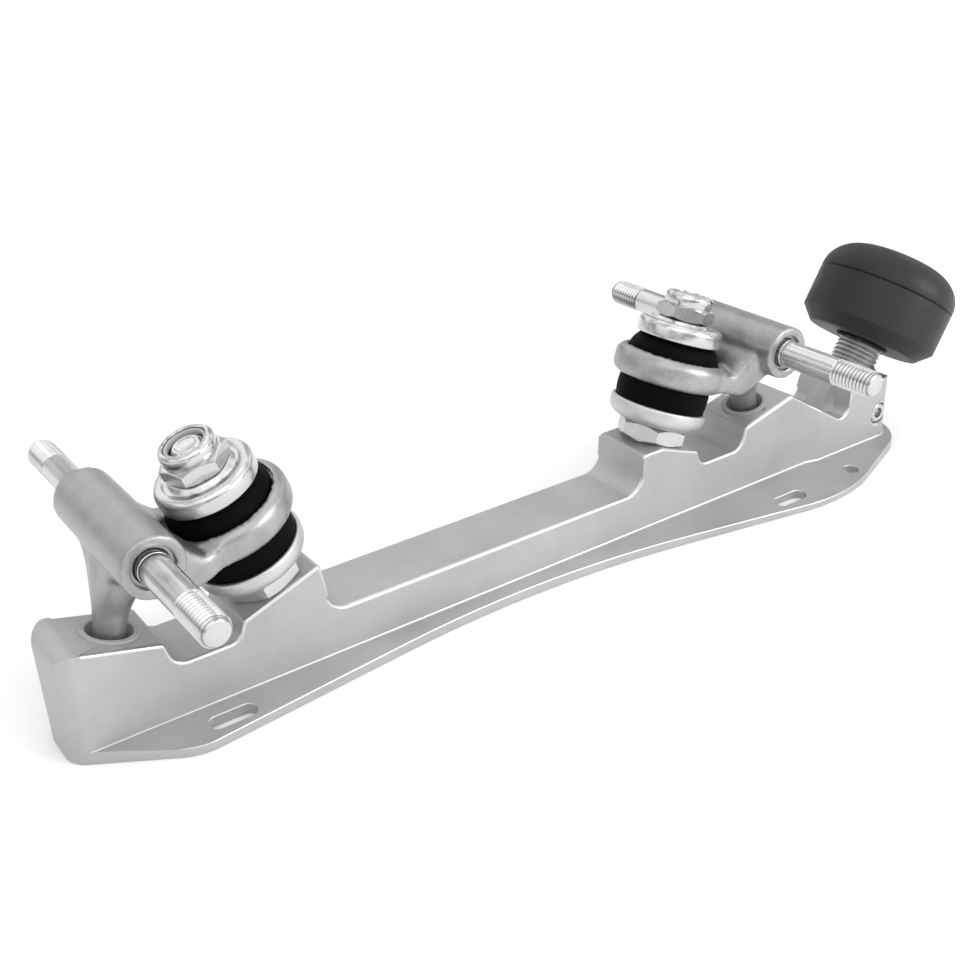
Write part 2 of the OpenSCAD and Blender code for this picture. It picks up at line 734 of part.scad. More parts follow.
plate();
hanger(FRONT);  // front_hanger
axle(FRONT);  // front_axle
pivot_cup(FRONT);  // front_pivot_cup
kingpin(FRONT);  // front_kingpin
jam_nut(FRONT);  // front_jam_nut
lower_cup(FRONT);  // front_lower_cup
lower_cushion(FRONT);  // front_lower_cushion
upper_cushion(FRONT);  // front_upper_cushion
upper_cup(FRONT);  // front_upper_cup
lock_nut(FRONT);  // front_lock_nut
nut_insert(FRONT);  // front_nut_insert
hanger(REAR);  // rear_hanger
axle(REAR);  // rear_axle
pivot_cup(REAR);  // rear_pivot_cup
kingpin(REAR);  // rear_kingpin
jam_nut(REAR);  // rear_jam_nut
lower_cup(REAR);  // rear_lower_cup
lower_cushion(REAR);  // rear_lower_cushion
upper_cushion(REAR);  // rear_upper_cushion
upper_cup(REAR);  // rear_upper_cup
lock_nut(REAR);  // rear_lock_nut
nut_insert(REAR);  // rear_nut_insert
toe_stop_rubber();
toe_stop_stem();
toe_stop_washer();
pinch_screw();
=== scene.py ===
"""A quad roller skate plate: the shapes and finishes that go round its construction model."""

import json
import math

import bmesh
import bpy
from bpy.props import FloatProperty, FloatVectorProperty, IntProperty, PointerProperty
from mathutils import Matrix, Vector
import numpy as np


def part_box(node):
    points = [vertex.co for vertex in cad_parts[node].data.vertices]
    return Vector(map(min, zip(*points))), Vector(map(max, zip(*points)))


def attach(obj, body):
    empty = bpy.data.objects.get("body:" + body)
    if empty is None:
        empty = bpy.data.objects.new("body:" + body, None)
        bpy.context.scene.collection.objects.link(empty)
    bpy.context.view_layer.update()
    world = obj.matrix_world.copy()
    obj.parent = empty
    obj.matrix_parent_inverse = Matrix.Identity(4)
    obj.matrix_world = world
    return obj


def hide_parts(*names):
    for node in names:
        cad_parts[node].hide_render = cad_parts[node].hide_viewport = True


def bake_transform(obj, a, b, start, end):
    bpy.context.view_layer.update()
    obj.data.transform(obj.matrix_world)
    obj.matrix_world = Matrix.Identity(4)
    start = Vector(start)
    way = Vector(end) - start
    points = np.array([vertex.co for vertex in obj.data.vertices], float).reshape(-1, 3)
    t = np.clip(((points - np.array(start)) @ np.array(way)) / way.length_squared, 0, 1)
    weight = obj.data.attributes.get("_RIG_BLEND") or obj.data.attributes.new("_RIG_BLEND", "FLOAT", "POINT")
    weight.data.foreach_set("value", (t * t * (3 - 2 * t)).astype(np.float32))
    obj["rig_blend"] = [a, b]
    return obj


bl_info = {
    "name": "Roller skate plate",
    "version": (1, 0, 0),
    "blender": (4, 5, 0),
    "location": "3D View > Sidebar > Skate plate",
    "description": "Builds the pieces and finishes of a quad roller skate plate",
    "category": "Object",
}

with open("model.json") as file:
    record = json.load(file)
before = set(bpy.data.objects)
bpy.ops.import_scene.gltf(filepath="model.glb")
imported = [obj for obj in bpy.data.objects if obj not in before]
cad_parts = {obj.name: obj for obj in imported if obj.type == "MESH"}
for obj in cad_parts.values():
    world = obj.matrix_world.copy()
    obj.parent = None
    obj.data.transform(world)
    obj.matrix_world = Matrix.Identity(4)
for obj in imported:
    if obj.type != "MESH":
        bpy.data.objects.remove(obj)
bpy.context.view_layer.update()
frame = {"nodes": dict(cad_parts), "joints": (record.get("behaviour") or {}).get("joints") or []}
MM = 0.001
ENDS = ("front", "rear")
JOINTS = {joint["name"]: joint for joint in frame["joints"]}

# Lengths under which two points count as one, in a profile and on a construction piece
TINY = 1e-7
WELD = 2e-6
TOUCH = 1e-5

# Angles in degrees: edges over the first stay crisp, and edges under the second are merged away
SHARP = 35.0
FLAT = 0.6

# The flange's thickness, and how far before the rail's ends its chamfer stops
FLANGE_TOP = 3.3 * MM
CORNER_ROOM = 7.3 * MM

# The hanger's ring: its bore, the cushions' seats, and how deep the cutter goes for each
RING_BORE = 8.5 * MM
RING_SEAT = 14.45 * MM
BORE_DEPTH = 4 * MM
SEAT_DEPTH = 9 * MM

# Bores of what the kingpin carries, and the radius of the pivot arm's ball
CUSHION_BORE = 5.1 * MM
JAM_BORE = 6.05 * MM
NYLON_BORE = 4.8 * MM
BALL_RADIUS = 4.9 * MM

# The toe stop: bores of the rubber and its ring, the stem's head, the rubber's groove and shoulder
RUBBER_BORE = 7.95 * MM
WASHER_BORE = 8.0 * MM
STEM_HEAD = 14.5 * MM
STEM_DEPTH = 8 * MM
GROOVE_HEIGHT = 18.8 * MM
SHOULDER_WIDTH = 13 * MM


# Places


class Place:
    """A local frame whose Z runs along an axis of the object."""

    def __init__(self, origin, axis, side=(0, 1, 0)):
        self.origin = Vector(origin)
        self.axis = Vector(axis).normalized()
        x = Vector(side).cross(self.axis).normalized()
        self.matrix = Matrix((x, self.axis.cross(x), self.axis)).transposed().to_4x4()
        self.matrix.translation = self.origin
        self.inverse = self.matrix.inverted()

    def points(self, node):
        """The corners of a construction piece, in this frame."""
        return [self.inverse @ vertex.co for vertex in frame["nodes"][node].data.vertices]

    def heights(self, node, beyond=-1.0):
        """Where along the axis a construction piece has corners further out than a radius."""
        return [point.z for point in self.points(node) if math.hypot(point.x, point.y) > beyond]

    def span(self, node):
        """The lowest and the highest point of a construction piece along the axis."""
        heights = self.heights(node)
        return min(heights), max(heights)

    def reach(self, node, low=-1e9, high=1e9):
        """How far a construction piece reaches from the axis between two heights."""
        return max(math.hypot(point.x, point.y) for point in self.points(node) if low <= point.z <= high)

    def size(self, node):
        """The span of a construction piece and its whole reach."""
        return *self.span(node), self.reach(node)

    def at(self, height):
        return self.matrix @ Vector((0.0, 0.0, height))


def joint_place(name, side=(0, 1, 0)):
    joint = JOINTS[name]
    return Place(joint["pos_m"], joint["axis"], side)


def kingpin_place(end):
    return joint_place(f"{end}_jam_nut_turn")


def axle_place(end):
    low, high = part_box(f"{end}_axle")
    return Place((low + high) / 2, (0, 1, 0), side=(0, 0, 1))


def arm_place(end):
    """Along the pivot arm, from the ball's centre to the axle."""
    ball = Vector(JOINTS[f"{end}_steer"]["pos_m"])
    return Place(ball, axle_place(end).origin - ball)


# Profiles of (radius, height) points


def soften(profile, radius, steps=3, closed=False):
    """Rounds the corners of a profile."""
    count = len(profile)
    result = []
    for i, corner in enumerate(map(Vector, profile)):
        before = Vector(profile[i - 1]) - corner
        after = Vector(profile[(i + 1) % count]) - corner
        reach = 0.0
        if (closed or 0 < i < count - 1) and min(before.length, after.length) >= TINY:
            half = before.angle(after) / 2
            if 0.01 < half <= math.radians(86):
                reach = min(radius / math.tan(half), 0.45 * before.length, 0.45 * after.length)
        if reach < TINY:
            result.append(tuple(corner))
            continue
        start = corner + before.normalized() * reach
        finish = corner + after.normalized() * reach
        for step in range(steps + 1):
            t = step / steps
            result.append(tuple(start * (1 - t) ** 2 + corner * 2 * t * (1 - t) + finish * t**2))
    return result


def arc(center, radius, first, last, count=8, height=None):
    """Points along a round or oval arc, with its angles in degrees."""
    height = radius if height is None else height
    angles = [math.radians(first + (last - first) * i / count) for i in range(count + 1)]
    return [(center[0] + radius * math.cos(a), center[1] + height * math.sin(a)) for a in angles]


# Meshes


def linked(name, data):
    """A new object in the scene."""
    piece = bpy.data.objects.new(name, data)
    bpy.context.scene.collection.objects.link(piece)
    return piece


def mesh_from(name, bm):
    mesh = bpy.data.meshes.new(name)
    bm.to_mesh(mesh)
    bm.free()
    return mesh


def smooth_shading(mesh, sharp=SHARP):
    """Shades a mesh smooth but for its edges over the sharp angle."""
    mesh.shade_smooth()
    mesh.set_sharp_from_angle(angle=math.radians(sharp))


def finish_with(piece, *finishes):
    piece.data.materials.clear()
    for finish in finishes:
        piece.data.materials.append(FINISHES[finish])
    return piece


def add_modifier(piece, kind, **settings):
    modifier = piece.modifiers.new(kind.lower(), kind)
    for key, value in settings.items():
        setattr(modifier, key, value)
    return modifier


def applied(piece):
    """Turns a piece with modifiers into a plain mesh."""
    graph = bpy.context.evaluated_depsgraph_get()
    mesh = bpy.data.meshes.new_from_object(piece.evaluated_get(graph))
    piece.modifiers.clear()
    piece.data = mesh


def ring_piece(name, place, rings, finish, sharp):
    """A piece whose skin runs over rings of points. A ring of one point closes an end."""
    bm = bmesh.new()
    rows = [[bm.verts.new(point) for point in ring] for ring in rings]
    for lower, upper in zip(rows, rows[1:]):
        count = max(len(lower), len(upper))
        for i in range(count):
            j = (i + 1) % count
            below = lower if len(lower) == 1 else [lower[i], lower[j]]
            above = upper if len(upper) == 1 else [upper[j], upper[i]]
            if len(below) + len(above) > 2:
                bm.faces.new(below + above)
    bmesh.ops.remove_doubles(bm, verts=bm.verts, dist=TINY)
    bmesh.ops.recalc_face_normals(bm, faces=bm.faces)
    bm.transform(place.matrix)
    piece = linked(name, mesh_from(name, bm))
    smooth_shading(piece.data, sharp)
    return finish_with(piece, finish) if finish else piece


def lathe(name, place, profile, finish=None, segments=96, closed=False, sharp=SHARP):
    """A turned piece. A profile that starts and ends on the axis is solid, a closed one is a ring."""
    turns = [2 * math.pi * i / segments for i in range(segments)]
    rings = []
    for radius, height in (profile + [profile[0]] if closed else profile):
        around = turns if radius >= TINY else turns[:1]
        rings.append([(radius * math.cos(a), radius * math.sin(a), height) for a in around])
    return ring_piece(name, place, rings, finish, sharp)


def across_flats(place, node):
    return place.reach(node) * 2 * math.cos(math.radians(30))


def hexagon(name, place, low, high, across, bore, turn, finish, chamfer=0.97):
    """A nut with its corners turned down at 30 degrees on both faces."""
    slope = math.tan(math.radians(30))
    flat = across / 2
    shoulder = flat * chamfer
    side_steps = 12
    count = 6 * side_steps
    edge = min(0.25 * MM, (high - low) / 10)
    rows = [[] for _ in range(8)]
    for i in range(count):
        angle = 2 * math.pi * i / count
        outer = flat / math.cos(math.radians(abs((math.degrees(angle) % 60) - 30)))
        drop = (outer - shoulder) * slope
        c, s = math.cos(angle + turn), math.sin(angle + turn)
        levels = (
            (bore, low), (bore + edge, low), (shoulder, low), (outer, low + drop),
            (outer, high - drop), (shoulder, high), (bore + edge, high), (bore, high - edge),
        )
        for row, (radius, height) in zip(rows, levels):
            row.append((radius * c, radius * s, height))
    return ring_piece(name, place, rows + [rows[0]], finish, sharp=25.0)


def joined(name, pieces):
    """One piece from several, with all their materials kept in order."""
    bm = bmesh.new()
    slots = []
    for piece in pieces:
        first = len(bm.faces)
        bm.from_mesh(piece.data)
        bm.faces.ensure_lookup_table()
        own = list(piece.data.materials)
        slots += [material for material in own if material not in slots]
        for face in bm.faces[first:]:
            face.material_index = slots.index(own[min(face.material_index, len(own) - 1)])
    whole = linked(name, mesh_from(name, bm))
    for material in slots:
        whole.data.materials.append(material)
    smooth_shading(whole.data)
    for piece in pieces:
        bpy.data.objects.remove(piece)
    return whole


def merged_copy(node, name):
    """A copy of a construction piece with its corners welded and its flat stretches made one face each."""
    bm = bmesh.new()
    bm.from_mesh(frame["nodes"][node].data)
    bmesh.ops.remove_doubles(bm, verts=bm.verts, dist=WELD)
    bmesh.ops.recalc_face_normals(bm, faces=bm.faces)
    bmesh.ops.dissolve_limit(bm, angle_limit=math.radians(FLAT), verts=bm.verts, edges=bm.edges)
    piece = linked(name, mesh_from(name, bm))
    piece.data.materials.clear()
    return piece


def cut(piece, cutter):
    add_modifier(piece, "BOOLEAN", operation="DIFFERENCE", solver="EXACT", object=cutter)
    applied(piece)
    bpy.data.objects.remove(cutter)


# Nodes and their maths


def feed(tree, node, inputs):
    """Sets the sockets of a node, or links them."""
    for key, value in inputs.items():
        if isinstance(value, Value):
            value = value.socket
        if isinstance(value, bpy.types.NodeSocket):
            tree.links.new(value, node.inputs[key])
        else:
            node.inputs[key].default_value = value


def add_node(tree, kind, settings=None, inputs=None):
    node = tree.nodes.new(kind)
    for key, value in (settings or {}).items():
        setattr(node, key, value)
    feed(tree, node, inputs or {})
    return node


def both_ways(operation):
    """A Python operator and its reflected form, each as one Math node."""
    return (
        lambda left, right: left.maths(operation, left, right),
        lambda right, left: right.maths(operation, left, right),
    )


class Value:
    """A node's output that takes part in Python arithmetic."""

    def __init__(self, tree, socket):
        self.tree = tree
        self.socket = socket

    def maths(self, operation, a, b):
        node = add_node(self.tree, "ShaderNodeMath", {"operation": operation}, {0: a, 1: b})
        return Value(self.tree, node.outputs[0])

    __add__, __radd__ = both_ways("ADD")
    __sub__, __rsub__ = both_ways("SUBTRACT")
    __mul__, __rmul__ = both_ways("MULTIPLY")
    __pow__, __rpow__ = both_ways("POWER")

    def __abs__(self):
        return self.maths("ABSOLUTE", self, 0.0)

    def between(self, low, high, to_low=0.0, to_high=1.0):
        """The value with low to high mapped to the second pair of numbers, and held inside them."""
        node = add_node(self.tree, "ShaderNodeMapRange", {"clamp": True}, {
            "Value": self, "From Min": low, "From Max": high, "To Min": to_low, "To Max": to_high,
        })
        return Value(self.tree, node.outputs[0])


# The thread, in Geometry Nodes


THREAD_TREE = "thread_ridge"


def thread_tree():
    """A helical ridge about Z, from height 0 up, that fades in and out at its ends."""
    tree = bpy.data.node_groups.new(THREAD_TREE, "GeometryNodeTree")
    face = tree.interface
    face.new_socket("Geometry", in_out="OUTPUT", socket_type="NodeSocketGeometry")
    for label in ("Root radius", "Depth", "Pitch", "Turns"):
        face.new_socket(label, in_out="INPUT", socket_type="NodeSocketFloat")
    face.new_socket("Steps per turn", in_out="INPUT", socket_type="NodeSocketInt")
    face.new_socket("Material", in_out="INPUT", socket_type="NodeSocketMaterial")

    def made(kind, inputs, settings=None):
        return add_node(tree, kind, settings, inputs).outputs[0]

    given = add_node(tree, "NodeGroupInput").outputs
    turns = Value(tree, given["Turns"])
    spiral = made("GeometryNodeCurveSpiral", {
        "Resolution": given["Steps per turn"], "Rotations": turns, "Start Radius": given["Root radius"],
        "End Radius": given["Root radius"], "Height": Value(tree, given["Pitch"]) * turns,
    })
    upright = made("GeometryNodeSetCurveNormal", {"Curve": spiral}, {"mode": "Z_UP"})
    along = Value(tree, add_node(tree, "GeometryNodeSplineParameter").outputs["Factor"])
    nearest_end = along.maths("MINIMUM", along, 1.0 - along)
    fade = (nearest_end * turns).between(0.0, 0.5, 0.05, 1.0)
    sized = made("GeometryNodeSetCurveRadius", {"Curve": upright, "Radius": fade})
    ridge = made("GeometryNodeCurvePrimitiveCircle", {"Resolution": 4, "Radius": given["Depth"]},
                 {"mode": "RADIUS"})
    swept = made("GeometryNodeCurveToMesh", {
        "Curve": sized, "Profile Curve": ridge, "Scale": fade, "Fill Caps": True,
    })
    real = made("GeometryNodeRealizeInstances", {"Geometry": swept})
    coated = made("GeometryNodeSetMaterial", {"Geometry": real, "Material": given["Material"]})
    add_node(tree, "NodeGroupOutput", None, {0: coated})


def thread(name, place, radius, low, high, pitch, finish, steps=36):
    """A helical ridge over a core of the thread's root radius, grown on an empty mesh."""
    depth = pitch / 2
    values = {
        "Root radius": radius - depth, "Depth": depth, "Pitch": pitch,
        "Turns": (high - low) / pitch, "Steps per turn": steps, "Material": FINISHES[finish],
    }
    tree = bpy.data.node_groups[THREAD_TREE]
    piece = linked(name, bpy.data.meshes.new(name))
    modifier = add_modifier(piece, "NODES", node_group=tree)
    for item in tree.interface.items_tree:
        if item.in_out == "INPUT":
            modifier[item.identifier] = values[item.name]
    applied(piece)
    piece.data.transform(place.matrix @ Matrix.Translation((0, 0, low)))
    return piece


# Finishes


class Finish:
    """A material and the nodes that make it."""

    def __init__(self, name, metallic=0.0, specular=0.5):
        self.material = bpy.data.materials.new(name)
        self.material.use_nodes = True
        self.tree = self.material.node_tree
        self.tree.nodes.clear()
        self.shader = self.node("ShaderNodeBsdfPrincipled", None, {
            "Metallic": metallic, "Specular IOR Level": specular,
        })
        self.node("ShaderNodeOutputMaterial", None, {"Surface": self.shader.outputs[0]})
        self.point = self.node("ShaderNodeTexCoord").outputs["Object"]

    def node(self, kind, settings=None, inputs=None):
        return add_node(self.tree, kind, settings, inputs)

    def stretched(self, scale):
        """Object coordinates scaled along each axis."""
        return self.node("ShaderNodeMapping", {"vector_type": "POINT"}, {
            "Vector": self.point, "Scale": scale,
        }).outputs[0]

    def noise(self, scale, detail=3.0, rough=0.55, point=None):
        node = self.node("ShaderNodeTexNoise", {"noise_dimensions": "3D"}, {
            "Vector": point or self.point, "Scale": scale, "Detail": detail, "Roughness": rough,
        })
        return Value(self.tree, node.outputs["Fac"])

    def cells(self, scale):
        node = self.node("ShaderNodeTexVoronoi", {"feature": "F1"}, {"Vector": self.point, "Scale": scale})
        return Value(self.tree, node.outputs["Distance"])

    def off_axis(self, place):
        """How far a point lies from an axis of the object or from the axis that mirrors it front to rear."""
        parts = self.node("ShaderNodeSeparateXYZ", None, {0: self.point})
        x, y, z = (Value(self.tree, parts.outputs[i]) for i in range(3))
        origin, axis = place.origin, place.axis
        dx, dy, dz = abs(x) - abs(origin.x), y - origin.y, z - origin.z
        run = dx * axis.x + dy * axis.y + dz * axis.z
        return abs(dx * dx + dy * dy + dz * dz - run * run) ** 0.5

    def mixed(self, factor, first, second):
        """A colour between two colours."""
        node = self.node("ShaderNodeMix", {"data_type": "RGBA"}, {"Factor": factor})
        for key, color in ((6, first), (7, second)):
            feed(self.tree, node, {key: color if isinstance(color, bpy.types.NodeSocket) else (*color, 1.0)})
        return node.outputs[2]

    def shades(self, factor, color, dark, light=1.0):
        """A colour between a darker and a lighter shade of one colour."""
        return self.mixed(factor, *(tuple(Vector(color) * share) for share in (dark, light)))

    def surface(self, color, rough, height=None, strength=0.0, distance=0.0):
        """Gives the finish its colour and roughness, and the height of its bumps."""
        feed(self.tree, self.shader, {"Base Color": color, "Roughness": rough})
        if height:
            bump = self.node("ShaderNodeBump", None, {
                "Height": height, "Strength": strength, "Distance": distance,
            })
            feed(self.tree, self.shader, {"Normal": bump.outputs[0]})
        return self.material


def grey(level):
    return (level, level, level * 1.005)


def machined_aluminium(colors):
    """Bead-blasted aluminium with faint lengthwise cutter marks under the blasting."""
    finish = Finish("machined_aluminium", metallic=0.55)
    cloud = finish.noise(45, detail=4.0, rough=0.6)
    grain = finish.noise(2600, detail=2.0)
    streak = finish.noise(900, detail=2.0, point=finish.stretched((0.04, 1.0, 1.0)))
    tone = (cloud + grain * 0.35 + streak * 0.15).between(0.50, 1.00)
    rough = (cloud * 0.5 + grain * 0.5).between(0.3, 0.7, 0.42, 0.56)
    return finish.surface(
        finish.shades(tone, colors.plate, 0.86, 1.08), rough, grain + streak * 0.3, 0.3, 0.09 * MM)


def machined_edge_and_highlight(colors):
    """The bright chamfers that the cutter left along the plate's edges; their lighter colour, also given to the
    rail's fillet, is partly real shine and partly painted highlight.
    """
    finish = Finish("machined_edge_and_highlight", metallic=1.0)
    streak = finish.noise(1400, detail=2.0)
    rough = streak.between(0.3, 0.7, 0.30, 0.42)
    return finish.surface(finish.shades(streak, colors.edge, 0.93), rough, streak, 0.1, 0.03 * MM)


def cast_aluminium(colors):
    """A tumbled casting: soft blotches, fine pits and a satin shine."""
    finish = Finish("cast_aluminium", metallic=0.85)
    blotch = finish.noise(170, detail=5.0, rough=0.65)
    skin = finish.noise(900, detail=4.0, rough=0.6)
    pits = finish.cells(1500).between(0.05, 0.22)
    tone = (blotch * 0.8 + skin * 0.4).between(0.45, 0.75)
    rough = (blotch * 0.6 + skin * 0.4).between(0.35, 0.65, 0.30, 0.46)
    height = skin * 0.7 + pits * 0.2 + blotch * 0.6
    return finish.surface(finish.shades(tone, colors.casting, 0.86, 1.08), rough, height, 0.35, 0.14 * MM)


def plated_steel(name, colors, axis_scale, rough, waviness, painted_root_shade=None):
    """Zinc-plated steel with turning marks round its axis, with painted shade at the roots of its thread."""
    finish = Finish(name, metallic=1.0)
    blotch = finish.noise(160, detail=3.0, rough=0.5)
    marks = finish.noise(2400, detail=2.0, point=finish.stretched(axis_scale))
    tone = (blotch * 0.7 + marks * 0.5).between(0.4, 0.8, 0.88, 1.06)
    if painted_root_shade:
        place, radius, depth = painted_root_shade
        # Painted shade: the colour darkens towards the thread's root radius, where shade would fall in the
        # valleys.
        off_root = abs(finish.off_axis(place) - (radius - depth))
        tone = tone * off_root.between(0.1 * depth, 0.5 * depth, 0.5, 1.0)
    gloss = (blotch * 0.5 + marks * 0.5).between(0.35, 0.65, *rough)
    return finish.surface(
        finish.shades(tone, colors.steel, 0.0), gloss, marks * 0.4 + blotch * 2.0, waviness, 0.1 * MM)


def urethane(colors):
    """Matte black urethane with a faint mould skin."""
    finish = Finish("urethane", specular=0.06)
    skin = finish.noise(700, detail=3.0)
    dust = finish.noise(2600, detail=2.0).between(0.62, 0.8)
    color = finish.shades(dust * 0.3, colors.cushion, 1.0, 2.2)
    return finish.surface(color, skin.between(0.3, 0.7, 0.55, 0.72), skin, 0.1, 0.08 * MM)


def stop_rubber(colors):
    """Moulded dark grey rubber with scuffs and a few pale specks."""
    finish = Finish("stop_rubber", specular=0.35)
    cloud = finish.noise(60, detail=4.0, rough=0.6)
    skin = finish.noise(1300, detail=3.0)
    speck = finish.noise(900, detail=1.0).between(0.76, 0.80)
    body = finish.shades(cloud.between(0.35, 0.65), colors.rubber, 0.8, 1.25)
    color = finish.mixed(speck * 0.5, body, tuple(Vector(colors.rubber) * 3))
    rough = (cloud + skin * 0.3).between(0.5, 0.8, 0.44, 0.62)
    return finish.surface(color, rough, skin, 0.16, 0.1 * MM)


def plastic(name, color, rough):
    """Moulded plastic with a faint mould skin."""
    finish = Finish(name)
    skin = finish.noise(800, detail=3.0)
    gloss = skin.between(0.3, 0.7, rough - 0.06, rough + 0.06)
    return finish.surface(finish.shades(skin.between(0.3, 0.7), color, 0.92), gloss, skin, 0.08, 0.06 * MM)


def black_steel(colors):
    """Blackened steel that has worn paler in places."""
    finish = Finish("black_steel", metallic=0.7)
    wear = finish.noise(500, detail=4.0).between(0.5, 0.75)
    color = finish.shades(wear, colors.black, 1.0, 2.5)
    return finish.surface(color, wear.between(0.0, 1.0, 0.42, 0.3), wear, 0.08, 0.05 * MM)


def pale_floor(colors):
    finish = Finish("pale_floor")
    return finish.surface(finish.shades(finish.noise(6, detail=2.0), colors.floor, 0.99), 0.9)


FINISHES = {}


def prepare():
    """Makes the materials and the thread's node tree, which the pieces share."""
    if FINISHES:
        return
    colors = bpy.context.scene.skate_colors
    sizes = bpy.context.scene.skate_sizes
    # Where the axle's and the stem's finishes get painted shade at the roots of their threads
    axle = axle_place("front")
    high = axle.span("front_axle")[1]
    axle_thread = (axle, axle.reach("front_axle", high - 3 * MM), sizes.fine_pitch / 2)
    stop = joint_place("toe_stop_turn")
    low = stop.span("toe_stop_stem")[0]
    stem_thread = (stop, stop.reach("toe_stop_stem", low, 0), sizes.stem_pitch / 2)
    FINISHES.update(
        plate=machined_aluminium(colors),
        edge=machined_edge_and_highlight(colors),
        casting=cast_aluminium(colors),
        axle=plated_steel("plated_axle", colors, (1.0, 0.05, 1.0), (0.16, 0.30), 0.12, axle_thread),
        stem=plated_steel("plated_stem", colors, (1.0, 1.0, 1.0), (0.34, 0.46), 0.1, stem_thread),
        nut=plated_steel("plated_nut", colors, (1.0, 1.0, 0.3), (0.12, 0.24), 0.5),
        cup=plated_steel("plated_cup", colors, (0.4, 0.4, 1.0), (0.16, 0.28), 0.4),
        satin=plated_steel("satin_steel", colors, (1.0, 1.0, 0.5), (0.40, 0.52), 0.3),
        cushion=urethane(colors),
        rubber=stop_rubber(colors),
        pivot=plastic("pivot_plastic", colors.pivot, 0.45),
        nylon=plastic("nylon", colors.nylon, 0.4),
        black=black_steel(colors),
        floor=pale_floor(colors),
    )
    thread_tree()


# Settings


def length_property(name, description, default, low, high):
    """A length whose default and limits are given in millimetres."""
    return FloatProperty(name=name, description=description, default=default * MM,
                         min=low * MM, max=high * MM, unit="LENGTH")


def color_property(name, description, default):
    return FloatVectorProperty(name=name, description=description, default=default,
                               subtype="COLOR", size=3, min=0.0, max=1.0)


class SkateSizes(bpy.types.PropertyGroup):
    """Sizes of the finishing details."""

    chamfer: length_property("Plate chamfer", "Width of the plate's top chamfers", 0.9, 0.2, 1.1)
    ridge: length_property("Flange fillet", "Width of the fillet between rail and flange", 0.7, 0.1, 1.0)
    rim: length_property("Rim break", "Width of the break on the flange's outer edge", 0.3, 0.05, 0.5)
    fine_pitch: length_property("Fine pitch", "Pitch of the axle and kingpin threads", 1.25, 0.8, 2.0)
    stem_pitch: length_property("Stem pitch", "Pitch of the toe stop's thread", 1.6, 1.0, 2.5)
    casting_voxel: length_property("Casting detail", "Voxel size of the hanger castings", 0.55, 0.3, 1.0)
    casting_rounds: IntProperty(name="Casting rounds", default=9, min=0, max=40,
                                description="Smoothing passes over the hanger castings")
    groove: length_property("Rubber groove", "Depth of the toe stop's parting groove", 0.55, 0.1, 1.5)


class SkateColors(bpy.types.PropertyGroup):
    """Colours of the finishes."""

    plate: color_property("Plate", "Bead-blasted aluminium", grey(0.43))
    # Lighter than the plate: partly the machined shine, partly painted highlight
    edge: color_property("Machined edge", "Bright chamfer", grey(0.62))
    casting: color_property("Casting", "Tumbled aluminium casting", grey(0.37))
    steel: color_property("Steel", "Zinc-plated steel", grey(0.60))
    cushion: color_property("Cushion", "Black urethane", (0.001, 0.001, 0.001))
    rubber: color_property("Rubber", "Toe stop rubber", (0.013, 0.013, 0.014))
    pivot: color_property("Pivot cup", "Grey plastic", grey(0.36))
    nylon: color_property("Nylon ring", "Natural nylon", grey(0.40))
    black: color_property("Black steel", "Black oxide", (0.03, 0.03, 0.032))
    floor: color_property("Floor", "Pale floor", (0.93, 0.93, 0.93))


class SkateOperator(bpy.types.Operator):
    """Base of the plate's operators."""

    bl_options = {"REGISTER", "UNDO"}

    def execute(self, context):
        prepare()
        self.build(context.scene.skate_sizes)
        return {"FINISHED"}


class EndOperator(SkateOperator):
    """Base of the operators that build one thing at the front and at the rear."""

    def build(self, sizes):
        for end in ENDS:
            self.build_end(end, sizes)


# The plate


def stop_chamfer(bm, weights, limits):
    """Ends the chamfer of the rail before its rounded heel and toe."""
    chain = [edge for edge in bm.edges if edge[weights] == 1.0]
    for limit in limits:
        for edge in list(chain):
            start, end = (vertex.co.x for vertex in edge.verts)
            if (start - limit) * (end - limit) < 0:
                share = (limit - start) / (end - start)
                chain.append(bmesh.utils.edge_split(edge, edge.verts[0], share)[0])
    for edge in chain:
        middle = sum(vertex.co.x for vertex in edge.verts) / 2
        if not limits[0] < middle < limits[1]:
            edge[weights] = 0.0


def edge_weight(edge, sizes):
    """How wide an edge of the plate is broken, as a share of the chamfer."""
    on_middle = max(abs(vertex.co.y) for vertex in edge.verts) < 1.0 * MM
    if on_middle or len(edge.link_faces) != 2:
        return 0.0
    upright = [face for face in edge.link_faces if abs(face.normal.z) < 0.05]
    level = [face for face in edge.link_faces if face.normal.z > 0.15]
    angle = edge.calc_face_angle_signed(0.0)
    if abs(angle) < math.radians(22) or len(upright) != 1 or len(level) != 1:
        return 0.0
    low = min(vertex.co.z for vertex in edge.verts)
    if angle < 0:
        return sizes.ridge / sizes.chamfer if low < FLANGE_TOP * 1.3 else 0.0
    return 1.0 if low > FLANGE_TOP * 1.5 else sizes.rim / sizes.chamfer


def broad_shading(mesh, sharp):
    """Shades every corner after the broadest faces there, and keeps edges over the sharp angle crisp."""
    mesh.shade_smooth()
    around = [[] for _ in mesh.vertices]
    for face in mesh.polygons:
        entry = (face.normal.copy(), face.area)
        for index in face.vertices:
            around[index].append(entry)
    limit = math.cos(math.radians(sharp))
    normals = []
    for face in mesh.polygons:
        own = face.normal.copy()
        for index in face.vertices:
            total = Vector()
            for normal, area in around[index]:
                if normal.dot(own) > limit:
                    total += normal * area
            normals.append(total.normalized() if total.length else own)
    mesh.normals_split_custom_set(normals)


